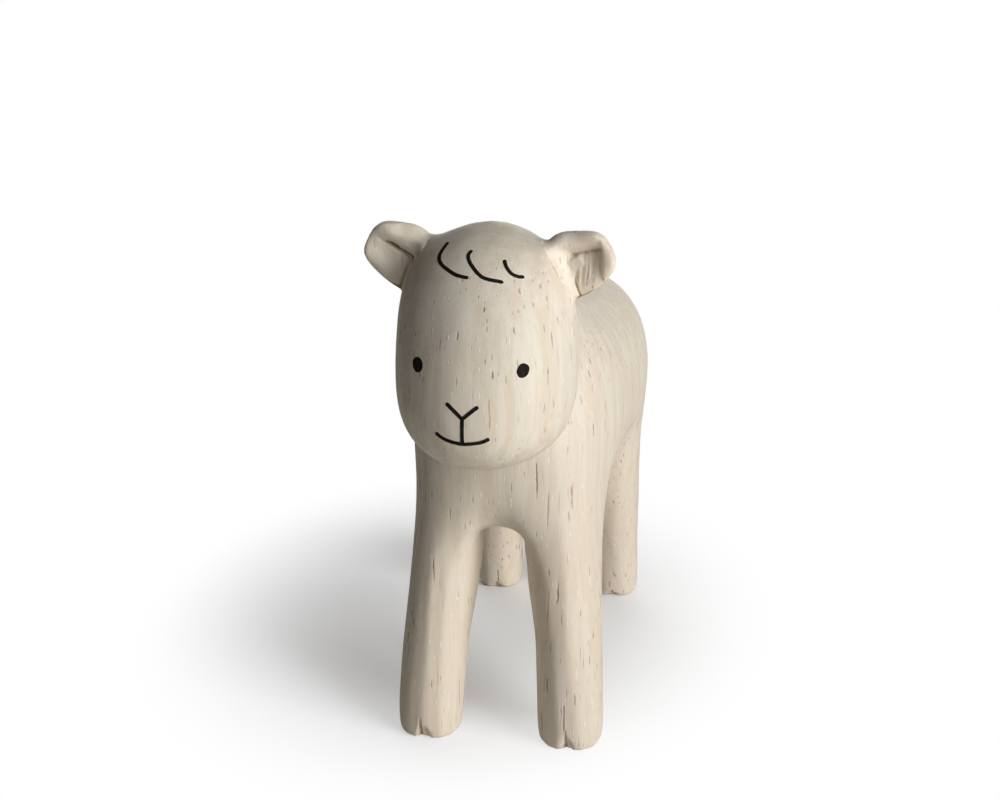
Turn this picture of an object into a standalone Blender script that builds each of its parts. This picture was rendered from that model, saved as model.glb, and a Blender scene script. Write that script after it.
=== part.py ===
"""Carved wooden kid goat that stands on four legs.

The goat faces -Y and stands on z = 0. Trunk and legs are one block of wood, and the head, the ears
and the tail are separate pieces glued on with wooden pins. Eyes, nose, mouth and forelock are paint.
Left and right are the goat's own, so its left side is at +X. All lengths below are in metres, and
heights are measured from the floor.
"""

import math

import bmesh
import bpy
from mathutils import Matrix, Vector

MM = 0.001

# Feet: the front pair stands at y = 0 while the figure is modelled, and the hind pair behind it
STANCE_LENGTH = 61.0 * MM
FRONT_FOOT_X = 11.5 * MM
HIND_FOOT_X = 11.2 * MM
FRONT_FOOT_RADIUS = 5.6 * MM
HIND_FOOT_RADIUS = 4.6 * MM

# Trunk
BELLY_HEIGHT = 35.0 * MM
TRUNK_DEPTH = 32.0 * MM
CHEST_HALF_WIDTH = 15.0 * MM
HIP_HALF_WIDTH = 17.2 * MM
CHEST_REACH = 5.0 * MM
RUMP_REACH = 5.5 * MM
WITHERS_RISE = 4.5 * MM
LOIN_FALL = 1.5 * MM
BREAST_FALL = 0.4 * MM
RUMP_FALL = 7.0 * MM

# Tops of the legs, where they leave the trunk and lean towards the middle of the figure
THIGH_DROP = 5.0 * MM
FRONT_THIGH_X = 9.7 * MM
FRONT_THIGH_LEAN = 6.5 * MM
FRONT_THIGH_HALF_WIDTH = 5.7 * MM
FRONT_THIGH_HALF_LENGTH = 10.0 * MM
HIND_THIGH_X = 10.5 * MM
HIND_THIGH_LEAN = 7.0 * MM
HIND_THIGH_HALF_WIDTH = 5.8 * MM
HIND_THIGH_HALF_LENGTH = 9.0 * MM

# Clefts cut into the fronts of the hooves
FRONT_CLEFT_HEIGHT = 3.4 * MM
FRONT_CLEFT_WIDTH = 2.7 * MM
FRONT_CLEFT_DEPTH = 2.0 * MM
HIND_CLEFT_HEIGHT = 2.6 * MM
HIND_CLEFT_WIDTH = 2.1 * MM
HIND_CLEFT_DEPTH = 1.6 * MM
CLEFT_INSET = 0.6 * MM

# Head, which is turned a little to the goat's right
HEAD_LEAD = 5.0 * MM
CHIN_DROP = 17.1 * MM
HEAD_HEIGHT = 35.4 * MM
HEAD_HALF_WIDTH = 13.5 * MM
FACE_REACH = 14.6 * MM
NAPE_REACH = 14.6 * MM
HEAD_TURN = math.radians(3.0)

# Ears
EAR_REACH = 8.6 * MM
EAR_HALF_WIDTH = 5.4 * MM
EAR_THICKNESS = 4.0 * MM
EAR_HOLLOW = 1.9 * MM
EAR_INSET = 2.9 * MM
EAR_DROP = 6.8 * MM
EAR_SETBACK = 1.0 * MM
EAR_RAISE = math.radians(29.0)

# Tail
TAIL_LENGTH = 10.0 * MM
TAIL_WIDTH = 6.0 * MM
TAIL_THICKNESS = 5.2 * MM
TAIL_DROP = 12.0 * MM
TAIL_TILT = math.radians(14.0)

# Hidden wooden pins and the sockets that they are glued into
NECK_DOWEL_RADIUS = 2.5 * MM
NECK_DOWEL_LENGTH = 14.0 * MM
NECK_DOWEL_TILT = math.radians(45.0)
NECK_DOWEL_BITE = 7.0 * MM
NECK_JOINT_SETBACK = 11.4 * MM
NECK_JOINT_RISE = 6.7 * MM
EAR_PIN_RADIUS = 0.6 * MM
EAR_PIN_LENGTH = 6.0 * MM
EAR_PIN_BITE = 3.0 * MM
EAR_PIN_SETBACK = 0.5 * MM
TAIL_PIN_RADIUS = 0.6 * MM
TAIL_PIN_LENGTH = 4.5 * MM
TAIL_PIN_BITE = 1.1 * MM
SOCKET_CLEARANCE = 0.1 * MM
SOCKET_END_CLEARANCE = 0.3 * MM
GLUE_GAP = 0.1 * MM

# Painted marks, drawn on a plane in front of the face and another that faces the forehead
LEFT_EYE_X = 7.8 * MM
RIGHT_EYE_X = -7.1 * MM
EYE_HEIGHT = 17.2 * MM
EYE_WIDTH = 1.6 * MM
EYE_TALLNESS = 2.1 * MM
NOSE_HEIGHT = 10.7 * MM
FORELOCK_DROP = 5.3 * MM
FORELOCK_LEAD = 8.0 * MM
FORELOCK_TILT = math.radians(45.0)
FACE_LINE_WIDTH = 0.5 * MM
FORELOCK_LINE_WIDTH = 0.42 * MM
PAINT_GAP = 0.06 * MM
PAINT_THICKNESS = 0.2 * MM
PAINT_RUN_IN = 8.0 * MM
PAINT_RUN_OUT = 3.0 * MM
STROKE_STAGGER = 0.2 * MM

# Lines of the face, in millimetres across and up from the point where the nose's strokes meet
FACE_STROKES = {
    "mouth": [(-4.0, -2.5), (-3.2, -3.0), (-2.2, -3.4), (-0.1, -3.75), (2.0, -3.5), (3.0, -3.2),
              (3.7, -2.8)],
    "nose_stem": [(0.05, 0.0), (0.0, -1.9), (-0.05, -3.75)],
    "nose_right_arm": [(0.05, 0.0), (-0.75, 0.75), (-1.55, 1.45), (-2.3, 2.1)],
    "nose_left_arm": [(0.05, 0.0), (0.8, 0.65), (1.55, 1.3), (2.25, 1.85)],
}

# Strokes of the forelock, in millimetres across and up the forehead
FORELOCK_STROKES = {
    "forelock_stroke_right": [(-4.8, 5.4), (-5.45, 2.75), (-4.7, 1.05), (-2.4, -0.7), (-0.4, -1.25)],
    "forelock_stroke_middle": [(-0.75, 3.4), (-1.05, 2.3), (-0.15, 0.6), (1.7, -1.0), (4.45, -1.2)],
    "forelock_stroke_left": [(4.0, 2.35), (4.45, 1.25), (5.25, 0.4), (6.2, 0.2), (6.95, 0.45)],
}

# A subdivided surface lies inside its cage, so the cages are drawn this much larger
CAGE_SWELL = 1.06
MERGE_DISTANCE = 0.00001

# Sizes that follow from those above
BACK_HEIGHT = BELLY_HEIGHT + TRUNK_DEPTH
THIGH_HEIGHT = BELLY_HEIGHT - THIGH_DROP
HEAD_BASE = BACK_HEIGHT - CHIN_DROP
HEAD_TOP = HEAD_BASE + HEAD_HEIGHT
HEAD_CENTRE_Y = -CHEST_REACH - HEAD_LEAD
RUMP_END = STANCE_LENGTH + RUMP_REACH

PALE_WOOD = (0.72, 0.62, 0.50)
PAINT_BLACK = (0.03, 0.025, 0.02)

# Strips of the trunk's cage that the legs grow from, counted round from the spine
LEG_COLUMNS = (4, 5)


def clear_scene():
    for old in list(bpy.data.objects):
        bpy.data.objects.remove(old, do_unlink=True)


def new_collection(name):
    collection = bpy.data.collections.new(name)
    bpy.context.scene.collection.children.link(collection)
    return collection


def new_empty(name, collection, parent=None, location=(0, 0, 0), turn=0.0):
    empty = bpy.data.objects.new(name, None)
    collection.objects.link(empty)
    empty.parent = parent
    empty.location = location
    empty.rotation_euler = (0, 0, turn)
    return empty


def new_material(name, colour, roughness):
    material = bpy.data.materials.new(name)
    material.use_nodes = True
    shader = material.node_tree.nodes["Principled BSDF"]
    shader.inputs["Base Color"].default_value = (*colour, 1.0)
    shader.inputs["Roughness"].default_value = roughness
    shader.inputs["Metallic"].default_value = 0.0
    return material


def mesh_from(bm, name):
    bmesh.ops.recalc_face_normals(bm, faces=bm.faces)
    mesh = bpy.data.meshes.new(name)
    bm.to_mesh(mesh)
    bm.free()
    return mesh


def new_part(name, mesh, collection, parent, material):
    item = bpy.data.objects.new(name, mesh)
    item.parent = parent
    collection.objects.link(item)
    mesh.materials.append(material)
    return item


def new_cutter(name, mesh, collection, parent):
    item = bpy.data.objects.new(name, mesh)
    item.parent = parent
    item.hide_render = True
    item.display_type = 'WIRE'
    collection.objects.link(item)
    return item


def add_mirror(item):
    modifier = item.modifiers.new("Mirror", 'MIRROR')
    modifier.merge_threshold = MERGE_DISTANCE


def add_subdivision(item, levels=2):
    modifier = item.modifiers.new("Subdivision", 'SUBSURF')
    modifier.levels = levels
    modifier.render_levels = levels


def add_offset(item, distance):
    modifier = item.modifiers.new("Offset", 'DISPLACE')
    modifier.mid_level = 0.0
    modifier.strength = distance


def add_boolean(item, cutter, operation='DIFFERENCE'):
    modifier = item.modifiers.new(cutter.name, 'BOOLEAN')
    modifier.solver = 'EXACT'
    modifier.operation = operation
    modifier.object = cutter


def offset_form(name, source, distance, collection):
    """The outer form of a piece, before it is cut, moved out evenly by a distance."""
    form = new_cutter(name, source.data, collection, source.parent)
    for modifier in source.modifiers:
        if modifier.type == 'MIRROR':
            add_mirror(form)
        elif modifier.type == 'SUBSURF':
            add_subdivision(form, modifier.levels)
    add_offset(form, distance)
    return form


# Trunk and legs

def trunk_ring(y, half_width, top, bottom):
    """Half a cross-section of the trunk's cage, from the spine round the side to the belly."""
    shape = [(0.0, 1.0), (0.52, 0.95), (0.88, 0.76), (1.0, 0.48), (0.94, 0.18), (0.60, 0.02),
             (0.26, 0.02), (0.0, 0.03)]
    middle = 0.5 * (top + bottom)
    half_height = 0.5 * (top - bottom) * CAGE_SWELL
    return [Vector((half_width * CAGE_SWELL * across, y, middle + half_height * (2 * up - 1)))
            for across, up in shape]


def trunk_rings():
    """Rings from the chest to the rump: three over the front legs, one between, three behind."""
    shoulder = FRONT_THIGH_LEAN
    hip = STANCE_LENGTH - HIND_THIGH_LEAN
    mean_half_width = 0.5 * (CHEST_HALF_WIDTH + HIP_HALF_WIDTH)
    return [
        trunk_ring(-0.6 * CHEST_REACH, 0.78 * CHEST_HALF_WIDTH, BACK_HEIGHT - LOIN_FALL,
                   BELLY_HEIGHT - BREAST_FALL),
        trunk_ring(shoulder, CHEST_HALF_WIDTH, BACK_HEIGHT + WITHERS_RISE,
                   BELLY_HEIGHT - BREAST_FALL),
        trunk_ring(shoulder + FRONT_THIGH_HALF_LENGTH, mean_half_width,
                   BACK_HEIGHT + 0.5 * WITHERS_RISE, BELLY_HEIGHT),
        trunk_ring(0.5 * STANCE_LENGTH, 0.97 * HIP_HALF_WIDTH, BACK_HEIGHT, BELLY_HEIGHT),
        trunk_ring(hip - HIND_THIGH_HALF_LENGTH, HIP_HALF_WIDTH, BACK_HEIGHT, BELLY_HEIGHT),
        trunk_ring(hip, HIP_HALF_WIDTH, BACK_HEIGHT - LOIN_FALL, BELLY_HEIGHT),
        trunk_ring(STANCE_LENGTH + 0.4 * RUMP_REACH, 0.78 * HIP_HALF_WIDTH,
                   BACK_HEIGHT - RUMP_FALL, BELLY_HEIGHT + LOIN_FALL),
    ]


def blend(start, end, share):
    return tuple(a + (b - a) * share for a, b in zip(start, end))


def leg_levels(thigh, foot):
    """Heights with the leg's centre and half sizes (x, y, half width, half length), going down."""
    steps = [(1.0, 0.0), (0.6, 0.5), (0.2, 0.92), (-0.07, 1.0)]
    return [(THIGH_HEIGHT * up, blend(thigh, foot, share)) for up, share in steps]


def leg_grid(cage, height, size):
    """Three rows of three corners, drawn out to a round section."""
    x, y, half_width, half_length = size
    grid = []
    for along in (-1, 0, 1):
        row = []
        for across in (1, 0, -1):
            reach = math.sqrt(0.5) if across and along else 1.0
            row.append(cage.verts.new((x + across * reach * CAGE_SWELL * half_width,
                                       y + along * reach * CAGE_SWELL * half_length, height)))
        grid.append(row)
    return grid


def grow_leg(cage, grid, levels):
    """Carry the rim of a 3 by 3 grid down through the levels, and close it under the foot."""
    rim = [(0, 0), (0, 1), (0, 2), (1, 2), (2, 2), (2, 1), (2, 0), (1, 0)]
    for height, size in levels:
        lower = leg_grid(cage, height, size)
        for (row, column), (next_row, next_column) in zip(rim, rim[1:] + rim[:1]):
            cage.faces.new((grid[row][column], grid[next_row][next_column],
                            lower[next_row][next_column], lower[row][column]))
        cage.verts.remove(grid[1][1])
        grid = lower
    for row in range(2):
        for column in range(2):
            cage.faces.new((grid[row][column], grid[row][column + 1],
                            grid[row + 1][column + 1], grid[row + 1][column]))


def body_mesh():
    """One half of the cage of the trunk with its two legs, open at x = 0 for the mirror."""
    cage = bmesh.new()
    rings = [[cage.verts.new(corner) for corner in ring] for ring in trunk_rings()]
    last = len(rings) - 1
    leg_rows = (0, 1, last - 2, last - 1)
    for row in range(last):
        for column in range(len(rings[0]) - 1):
            if row in leg_rows and column in LEG_COLUMNS:
                continue
            cage.faces.new((rings[row][column], rings[row][column + 1],
                            rings[row + 1][column + 1], rings[row + 1][column]))
    middle = BELLY_HEIGHT + 0.45 * TRUNK_DEPTH
    chest = cage.verts.new((0, -CHEST_REACH * CAGE_SWELL, middle))
    rump = cage.verts.new((0, STANCE_LENGTH + RUMP_REACH * CAGE_SWELL, middle))
    for column in range(len(rings[0]) - 1):
        cage.faces.new((rings[0][column + 1], rings[0][column], chest))
        cage.faces.new((rings[last][column], rings[last][column + 1], rump))
    front_thigh = (FRONT_THIGH_X, FRONT_THIGH_LEAN, FRONT_THIGH_HALF_WIDTH, FRONT_THIGH_HALF_LENGTH)
    front_foot = (FRONT_FOOT_X, 0.0, FRONT_FOOT_RADIUS, FRONT_FOOT_RADIUS)
    hind_thigh = (HIND_THIGH_X, STANCE_LENGTH - HIND_THIGH_LEAN, HIND_THIGH_HALF_WIDTH,
                  HIND_THIGH_HALF_LENGTH)
    hind_foot = (HIND_FOOT_X, STANCE_LENGTH, HIND_FOOT_RADIUS, HIND_FOOT_RADIUS)
    for rows, thigh, foot in (((0, 1, 2), front_thigh, front_foot),
                              ((last - 2, last - 1, last), hind_thigh, hind_foot)):
        grid = [rings[row][LEG_COLUMNS[0]:LEG_COLUMNS[1] + 2] for row in rows]
        grow_leg(cage, grid, leg_levels(thigh, foot))
    return mesh_from(cage, "body")


def cut_soles(body, cutters, frame):
    """Saw the feet off level with the floor."""
    reach = 2 * (STANCE_LENGTH + HIP_HALF_WIDTH)
    bm = bmesh.new()
    bmesh.ops.create_cube(bm, size=reach)
    bmesh.ops.translate(bm, verts=bm.verts, vec=(0, 0.5 * STANCE_LENGTH, -0.5 * reach))
    add_boolean(body, new_cutter("floor_cut", mesh_from(bm, "floor_cut"), cutters, frame))


def cut_clefts(body, cutters, frame):
    """Nick the front of each hoof with a pointed notch that is deepest at the sole."""
    below = 1.0 * MM
    front = ("front", FRONT_FOOT_X, -FRONT_FOOT_RADIUS, FRONT_CLEFT_HEIGHT, FRONT_CLEFT_WIDTH,
             FRONT_CLEFT_DEPTH)
    hind = ("hind", HIND_FOOT_X, STANCE_LENGTH - HIND_FOOT_RADIUS, HIND_CLEFT_HEIGHT,
            HIND_CLEFT_WIDTH, HIND_CLEFT_DEPTH)
    for name, foot_x, toe_y, height, width, depth in (front, hind):
        tall = height + below
        spread = tall / height
        for side, sign in (("left", 1), ("right", -1)):
            bm = bmesh.new()
            bmesh.ops.create_cone(bm, cap_ends=True, segments=4, radius1=1.0, radius2=0.0,
                                  depth=tall)
            bmesh.ops.scale(bm, verts=bm.verts, vec=(0.5 * width * spread, depth * spread, 1.0))
            bmesh.ops.translate(bm, verts=bm.verts,
                                vec=(sign * foot_x, toe_y + CLEFT_INSET, 0.5 * tall - below))
            cutter_name = f"{name}_{side}_cleft"
            add_boolean(body, new_cutter(cutter_name, mesh_from(bm, cutter_name), cutters, frame))


# Head, ears and tail

def head_mesh():
    """One half of the head's cage: rings from the face round the cheek to the nape, chin to crown."""
    levels = [(0.05, 0.67, 0.76, 0.45), (0.18, 0.93, 1.0, 0.78), (0.36, 0.985, 1.0, 0.95),
              (0.56, 0.965, 0.89, 1.0), (0.75, 0.91, 0.74, 0.98), (0.91, 0.66, 0.50, 0.75)]
    steps = 6
    cage = bmesh.new()
    rings = []
    for up, width, front, back in levels:
        ring = []
        for step in range(steps + 1):
            angle = math.pi * step / steps
            reach = FACE_REACH * front if step < steps / 2 else NAPE_REACH * back
            across = HEAD_HALF_WIDTH * width * math.sin(angle) if 0 < step < steps else 0.0
            ring.append(cage.verts.new((CAGE_SWELL * across, -CAGE_SWELL * reach * math.cos(angle),
                                        HEAD_BASE + HEAD_HEIGHT * up)))
        rings.append(ring)
    for lower, upper in zip(rings, rings[1:]):
        for step in range(steps):
            cage.faces.new((lower[step], lower[step + 1], upper[step + 1], upper[step]))
    chin = cage.verts.new((0, -0.15 * FACE_REACH, HEAD_BASE - 0.02 * HEAD_HEIGHT))
    crown = cage.verts.new((0, 0.2 * NAPE_REACH, HEAD_BASE + 1.03 * HEAD_HEIGHT))
    for step in range(steps):
        cage.faces.new((rings[0][step + 1], rings[0][step], chin))
        cage.faces.new((rings[-1][step], rings[-1][step + 1], crown))
    return mesh_from(cage, "head")


def ear_root(side):
    """The point on the side of the head that the ear's long axis starts from."""
    return Vector((side * (HEAD_HALF_WIDTH - EAR_INSET), EAR_SETBACK, HEAD_TOP - EAR_DROP))


def ear_mesh(name, side):
    """Leaf that points out and up from the head, hollowed along the middle of its front."""
    sections = [(-0.35, 0.85, 1.15, 0.0), (0.15, 1.0, 1.08, 0.6), (0.62, 0.86, 0.86, 1.0),
                (0.93, 0.50, 0.68, 0.7)]
    outline = [(-1, 0.0), (-0.6, -0.5), (0, -0.5), (0.6, -0.5), (1, 0.0), (0.6, 0.5), (0, 0.5),
               (-0.6, 0.5)]
    outward = Vector((side * math.cos(EAR_RAISE), 0, math.sin(EAR_RAISE)))
    upward = Vector((-side * math.sin(EAR_RAISE), 0, math.cos(EAR_RAISE)))
    backward = Vector((0, 1, 0))
    cage = bmesh.new()
    rings = []
    for along, wide, thick, hollow in sections:
        ring = []
        for across, deep in outline:
            dip = EAR_HOLLOW * hollow if across == 0 and deep < 0 else 0.0
            ring.append(cage.verts.new(
                ear_root(side)
                + outward * (along * EAR_REACH * CAGE_SWELL)
                + upward * (across * wide * EAR_HALF_WIDTH * CAGE_SWELL)
                + backward * (deep * thick * EAR_THICKNESS + dip)))
        rings.append(ring)
    for lower, upper in zip(rings, rings[1:]):
        for step in range(len(outline)):
            after = (step + 1) % len(outline)
            cage.faces.new((lower[step], lower[after], upper[after], upper[step]))
    cage.faces.new(rings[0])
    cage.faces.new(rings[-1])
    return mesh_from(cage, name)


def tail_root():
    """The middle of the tail, in line with the end of the rump."""
    return Vector((0, RUMP_END, BACK_HEIGHT - TAIL_DROP))


def tail_mesh():
    """Short drop that hangs from the rump with its tip held off it."""
    bm = bmesh.new()
    bmesh.ops.create_uvsphere(bm, u_segments=10, v_segments=7, radius=0.5)
    bmesh.ops.scale(bm, verts=bm.verts, vec=(TAIL_WIDTH, TAIL_THICKNESS, TAIL_LENGTH))
    for vert in bm.verts:
        taper = 0.8 + 0.4 * vert.co.z / TAIL_LENGTH
        vert.co.x *= taper
        vert.co.y *= taper
    bmesh.ops.rotate(bm, verts=bm.verts, matrix=Matrix.Rotation(TAIL_TILT, 3, 'X'))
    bmesh.ops.translate(bm, verts=bm.verts, vec=tail_root())
    return mesh_from(bm, "tail")


# Pins

def rod_mesh(name, centre, direction, radius, length):
    bm = bmesh.new()
    bmesh.ops.create_cone(bm, cap_ends=True, segments=16, radius1=radius, radius2=radius,
                          depth=length)
    turn = direction.to_track_quat('Z', 'Y').to_matrix()
    bmesh.ops.rotate(bm, verts=bm.verts, matrix=turn)
    bmesh.ops.translate(bm, verts=bm.verts, vec=centre)
    return mesh_from(bm, name)


def add_pin(name, joint, direction, size, holders, parts, cutters, parent):
    """A pin across a glued joint, and the blind socket for it in each of the two pieces.

    The size is the pin's radius, its length, and how far it reaches past the joint.
    """
    radius, length, bite = size
    centre = joint + direction * (bite - 0.5 * length)
    material = new_material(name + "_wood", PALE_WOOD, 0.8)
    new_part(name, rod_mesh(name, centre, direction, radius, length), parts, parent, material)
    socket_name = name + "_socket"
    socket = new_cutter(socket_name,
                        rod_mesh(socket_name, centre, direction, radius + SOCKET_CLEARANCE,
                                 length + 2 * SOCKET_END_CLEARANCE), cutters, parent)
    for holder in holders:
        add_boolean(holder, socket)


# Painted marks

def smooth_path(points, steps=4):
    """Catmull-Rom curve through the points, as 2D vectors in metres."""
    points = [Vector(point) * MM for point in points]
    ends = [2 * points[0] - points[1]] + points + [2 * points[-1] - points[-2]]
    path = []
    for a, b, c, d in zip(ends, ends[1:], ends[2:], ends[3:]):
        for step in range(steps):
            t = step / steps
            path.append(0.5 * (2 * b + (c - a) * t + (2 * a - 5 * b + 4 * c - d) * t ** 2
                               + (3 * b - a - 3 * c + d) * t ** 3))
    path.append(points[-1])
    return path


def stroke_outline(path, width):
    """Outline of a pen stroke with round ends, anticlockwise."""
    half = 0.5 * width
    headings = [(after - before).normalized()
                for before, after in zip([path[0]] + path[:-1], path[1:] + [path[-1]])]
    sides = [Vector((-heading.y, heading.x)) * half for heading in headings]
    right = [point - side for point, side in zip(path, sides)]
    left = [point + side for point, side in zip(path, sides)]
    turns = (math.pi / 4, math.pi / 2, 3 * math.pi / 4)
    tip = [path[-1] - math.cos(turn) * sides[-1] + math.sin(turn) * half * headings[-1]
           for turn in turns]
    heel = [path[0] + math.cos(turn) * sides[0] - math.sin(turn) * half * headings[0]
            for turn in turns]
    return right + tip + left[::-1] + heel


def stroke_mesh(name, points, width):
    """The stroke's outline on the local XY plane, run through the surface along local Z."""
    outline = stroke_outline(smooth_path(points), width)
    bm = bmesh.new()
    flat = bm.faces.new([bm.verts.new((point.x, point.y, -PAINT_RUN_IN)) for point in outline])
    risen = bmesh.ops.extrude_face_region(bm, geom=[flat], use_keep_orig=True)
    corners = [item for item in risen["geom"] if isinstance(item, bmesh.types.BMVert)]
    bmesh.ops.translate(bm, verts=corners, vec=(0, 0, PAINT_RUN_IN + PAINT_RUN_OUT))
    return mesh_from(bm, name)


def place_on_face(item, up):
    item.location = (0, -FACE_REACH, HEAD_BASE + up)
    item.rotation_euler = (math.pi / 2, 0, 0)


def place_on_forehead(item):
    item.location = (0, -FORELOCK_LEAD, HEAD_TOP - FORELOCK_DROP)
    item.rotation_euler = (FORELOCK_TILT, 0, 0)


def trim_to_film(mark, forms):
    """Keep only the thin layer of a mark that lies on the head."""
    outer, inner = forms
    add_boolean(mark, outer, 'INTERSECT')
    add_boolean(mark, inner)


def add_eye(name, across, forms, parts, head_frame, material):
    bm = bmesh.new()
    deep = PAINT_RUN_IN + PAINT_RUN_OUT
    bmesh.ops.create_cone(bm, cap_ends=True, segments=20, radius1=0.5, radius2=0.5, depth=deep)
    bmesh.ops.scale(bm, verts=bm.verts, vec=(EYE_WIDTH, EYE_TALLNESS, 1.0))
    bmesh.ops.translate(bm, verts=bm.verts,
                        vec=(across, 0, PAINT_RUN_OUT - 0.5 * deep))
    eye = new_part(name, mesh_from(bm, name), parts, head_frame, material)
    place_on_face(eye, EYE_HEIGHT)
    trim_to_film(eye, forms)


def add_nose_and_mouth(forms, parts, cutters, head_frame, material):
    """The mouth joined with the strokes of the nose.

    Each stroke is set a little further out than the last, so that no two ends lie in one plane.
    """
    strokes = list(FACE_STROKES.items())
    mark = new_part("nose_and_mouth", stroke_mesh("nose_and_mouth", strokes[0][1], FACE_LINE_WIDTH),
                    parts, head_frame, material)
    place_on_face(mark, NOSE_HEIGHT)
    for order, (name, points) in enumerate(strokes[1:], 1):
        stroke = new_cutter(name, stroke_mesh(name, points, FACE_LINE_WIDTH), cutters, head_frame)
        place_on_face(stroke, NOSE_HEIGHT)
        stroke.location.y -= order * STROKE_STAGGER
        add_boolean(mark, stroke, 'UNION')
    trim_to_film(mark, forms)


def centre_on_origin(frame, parts):
    """Move the whole figure so that its bounding box stands centred over the origin."""
    bpy.context.view_layer.update()
    graph = bpy.context.evaluated_depsgraph_get()
    corners = []
    for item in parts.objects:
        if item.type == 'MESH':
            shape = item.evaluated_get(graph)
            corners += [shape.matrix_world @ vert.co for vert in shape.data.vertices]
    for axis in (0, 1):
        spread = [corner[axis] for corner in corners]
        frame.location[axis] = -0.5 * (min(spread) + max(spread))


def main():
    clear_scene()
    parts = new_collection("kid_goat_figurine")
    cutters = new_collection("cutters")
    frame = new_empty("figure_frame", parts)
    head_frame = new_empty("head_frame", parts, frame, (0, HEAD_CENTRE_Y, 0), -HEAD_TURN)

    body = new_part("body", body_mesh(), parts, frame, new_material("body_wood", PALE_WOOD, 0.75))
    add_mirror(body)
    add_subdivision(body)
    body_form = offset_form("body_form", body, GLUE_GAP, cutters)
    head = new_part("head", head_mesh(), parts, head_frame,
                    new_material("head_wood", PALE_WOOD, 0.75))
    add_mirror(head)
    add_subdivision(head)
    head_form = offset_form("head_form", head, GLUE_GAP, cutters)
    paint_forms = (offset_form("paint_outer", head, PAINT_GAP + PAINT_THICKNESS, cutters),
                   offset_form("paint_inner", head, PAINT_GAP, cutters))

    cut_soles(body, cutters, frame)
    cut_clefts(body, cutters, frame)
    add_boolean(body, head_form)

    neck_point = Vector((0, HEAD_CENTRE_Y + NECK_JOINT_SETBACK, HEAD_BASE + NECK_JOINT_RISE))
    neck_axis = Vector((0, -math.sin(NECK_DOWEL_TILT), math.cos(NECK_DOWEL_TILT)))
    add_pin("neck_dowel", neck_point, neck_axis,
            (NECK_DOWEL_RADIUS, NECK_DOWEL_LENGTH, NECK_DOWEL_BITE), (body, head), parts, cutters,
            frame)

    for name, side in (("left_ear", 1), ("right_ear", -1)):
        ear = new_part(name, ear_mesh(name, side), parts, head_frame,
                       new_material(name + "_wood", PALE_WOOD, 0.75))
        add_subdivision(ear)
        add_boolean(ear, head_form)
        ear_axis = Vector((side * math.cos(EAR_RAISE), 0, math.sin(EAR_RAISE)))
        pin_joint = ear_root(side) + Vector((0, EAR_PIN_SETBACK, 0))
        add_pin(name + "_pin", pin_joint, ear_axis, (EAR_PIN_RADIUS, EAR_PIN_LENGTH, EAR_PIN_BITE),
                (head, ear), parts, cutters, head_frame)

    tail = new_part("tail", tail_mesh(), parts, frame, new_material("tail_wood", PALE_WOOD, 0.75))
    add_subdivision(tail, 1)
    add_boolean(tail, body_form)
    add_pin("tail_pin", tail_root(), Vector((0, 1, 0)),
            (TAIL_PIN_RADIUS, TAIL_PIN_LENGTH, TAIL_PIN_BITE), (body, tail), parts, cutters, frame)

    for name, across in (("left_eye", LEFT_EYE_X), ("right_eye", RIGHT_EYE_X)):
        add_eye(name, across, paint_forms, parts, head_frame,
                new_material(name + "_paint", PAINT_BLACK, 0.5))
    add_nose_and_mouth(paint_forms, parts, cutters, head_frame,
                       new_material("nose_paint", PAINT_BLACK, 0.5))
    for name, points in FORELOCK_STROKES.items():
        stroke = new_part(name, stroke_mesh(name, points, FORELOCK_LINE_WIDTH), parts, head_frame,
                          new_material(name + "_paint", PAINT_BLACK, 0.5))
        place_on_forehead(stroke)
        trim_to_film(stroke, paint_forms)

    for item in parts.objects:
        if item.type == 'MESH':
            item.data.shade_smooth()
    centre_on_origin(frame, parts)


main()
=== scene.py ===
# %% [markdown]
# # A carved wooden kid goat
#
# This lesson dresses a small wooden figurine, a young goat on four column legs. The packed model gives
# the exact places and sizes, and the cells below add what a camera sees: the soft crease where the head
# meets the chest, the hollows carved in the ears, painted strokes with round ends, and pale sanded wood
# with its pores. We load the model first, because each later piece is made from it.

# %% Load the packed model
import math

import bmesh
import bpy
import numpy as np
from mathutils import Matrix, Vector, noise
from mathutils.bvhtree import BVHTree


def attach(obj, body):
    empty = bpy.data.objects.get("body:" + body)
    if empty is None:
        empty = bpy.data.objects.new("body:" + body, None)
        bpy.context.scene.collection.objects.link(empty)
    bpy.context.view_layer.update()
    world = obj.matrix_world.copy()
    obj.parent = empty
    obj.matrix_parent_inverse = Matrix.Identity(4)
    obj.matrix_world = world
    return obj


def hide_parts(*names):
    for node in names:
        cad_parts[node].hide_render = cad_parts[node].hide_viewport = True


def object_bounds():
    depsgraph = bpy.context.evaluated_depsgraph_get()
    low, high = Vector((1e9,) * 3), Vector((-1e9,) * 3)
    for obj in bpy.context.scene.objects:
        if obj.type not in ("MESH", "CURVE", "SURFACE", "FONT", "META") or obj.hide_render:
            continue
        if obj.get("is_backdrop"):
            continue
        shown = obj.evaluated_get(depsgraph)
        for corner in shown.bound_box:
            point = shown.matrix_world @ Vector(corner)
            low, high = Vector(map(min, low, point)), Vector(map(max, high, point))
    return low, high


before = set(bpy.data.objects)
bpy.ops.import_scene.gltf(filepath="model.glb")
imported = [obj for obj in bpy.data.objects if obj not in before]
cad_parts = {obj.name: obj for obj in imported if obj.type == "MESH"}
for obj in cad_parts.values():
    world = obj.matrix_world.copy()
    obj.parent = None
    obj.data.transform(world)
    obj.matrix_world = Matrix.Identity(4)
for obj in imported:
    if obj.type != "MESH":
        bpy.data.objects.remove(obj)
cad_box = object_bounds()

MM = 0.001
print("nodes:", sorted(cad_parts))

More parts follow.
